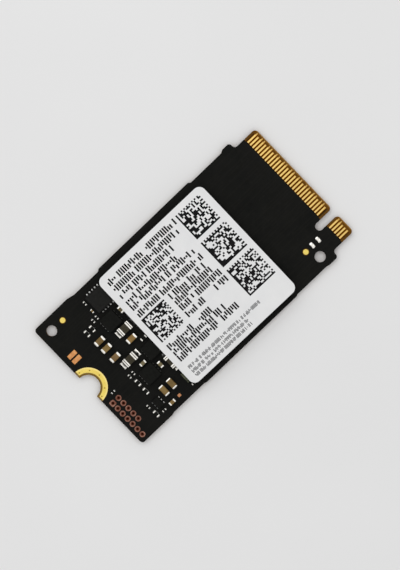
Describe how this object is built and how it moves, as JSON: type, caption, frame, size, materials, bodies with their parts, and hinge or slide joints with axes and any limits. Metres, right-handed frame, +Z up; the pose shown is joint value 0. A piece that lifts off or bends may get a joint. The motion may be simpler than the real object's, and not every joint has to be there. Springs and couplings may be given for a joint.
{
  "type": "m.2 nvme solid-state drive card",
  "caption": "Flat black circuit card with a keyed gold edge connector, a half-round mounting notch, a labelled storage package and small power parts, for fast solid-state storage.",
  "frame": {"origin": "middle of the card's outline, at the level its underside pads rest on", "axes": "+Y along the card towards the edge connector, +Z up through the parts' side, +X to the right with the connector away from the viewer"},
  "size_m": [0.022, 0.042, 0.0022],
  "materials": {
    "laminate": "bare glass-fibre laminate, amber",
    "solder_mask": "matt black solder mask",
    "gold_plate": "gold plate, satin",
    "copper": "bare protected copper, satin",
    "tin": "bright tin and solder",
    "substrate": "dark green laminate edge",
    "moulding": "black moulding compound",
    "label_paper": "white paper, slight sheen",
    "alumina": "white alumina",
    "capacitor_ceramic": "tan fired ceramic",
    "ferrite": "dark grey-brown ferrite"
  },
  "bodies": {
    "root": {"capacitor_01_body": "capacitor_ceramic", "capacitor_01_ends": "tin", "capacitor_02_body": "capacitor_ceramic", "capacitor_02_ends": "tin", "capacitor_03_body": "capacitor_ceramic", "capacitor_03_ends": "tin", "capacitor_04_body": "capacitor_ceramic", "capacitor_04_ends": "tin", "capacitor_05_body": "capacitor_ceramic", "capacitor_05_ends": "tin", "capacitor_06_body": "capacitor_ceramic", "capacitor_06_ends": "tin", "capacitor_07_body": "capacitor_ceramic", "capacitor_07_ends": "tin", "capacitor_08_body": "capacitor_ceramic", "capacitor_08_ends": "tin", "capacitor_09_body": "capacitor_ceramic", "capacitor_09_ends": "tin", "capacitor_10_body": "capacitor_ceramic", "capacitor_10_ends": "tin", "capacitor_11_body": "capacitor_ceramic", "capacitor_11_ends": "tin", "circuit_board": "laminate", "converter_1_body": "moulding", "converter_1_leads": "tin", "converter_2_body": "moulding", "converter_2_leads": "tin", "converter_3_body": "moulding", "converter_3_leads": "tin", "copper_pads": "copper", "crystal_base": "capacitor_ceramic", "crystal_lid": "tin", "edge_contacts_bottom": "gold_plate", "edge_contacts_top": "gold_plate", "fiducials": "gold_plate", "header_eyelets": "copper", "inductor_1_body": "ferrite", "inductor_1_ends": "tin", "inductor_2_body": "ferrite", "inductor_2_ends": "tin", "inductor_3_body": "ferrite", "inductor_3_ends": "tin", "label": "label_paper", "logic_gate_body": "moulding", "logic_gate_leads": "tin", "mounting_pads": "gold_plate", "package_balls": "tin", "package_mould": "moulding", "package_substrate": "substrate", "power_switch_body": "moulding", "power_switch_leads": "tin", "resistor_bases": "alumina", "resistor_coats": "moulding", "resistor_ends": "tin", "solder_domes": "tin", "solder_joints": "tin", "solder_mask_bottom": "solder_mask", "solder_mask_top": "solder_mask"}
  },
  "joints": []
}
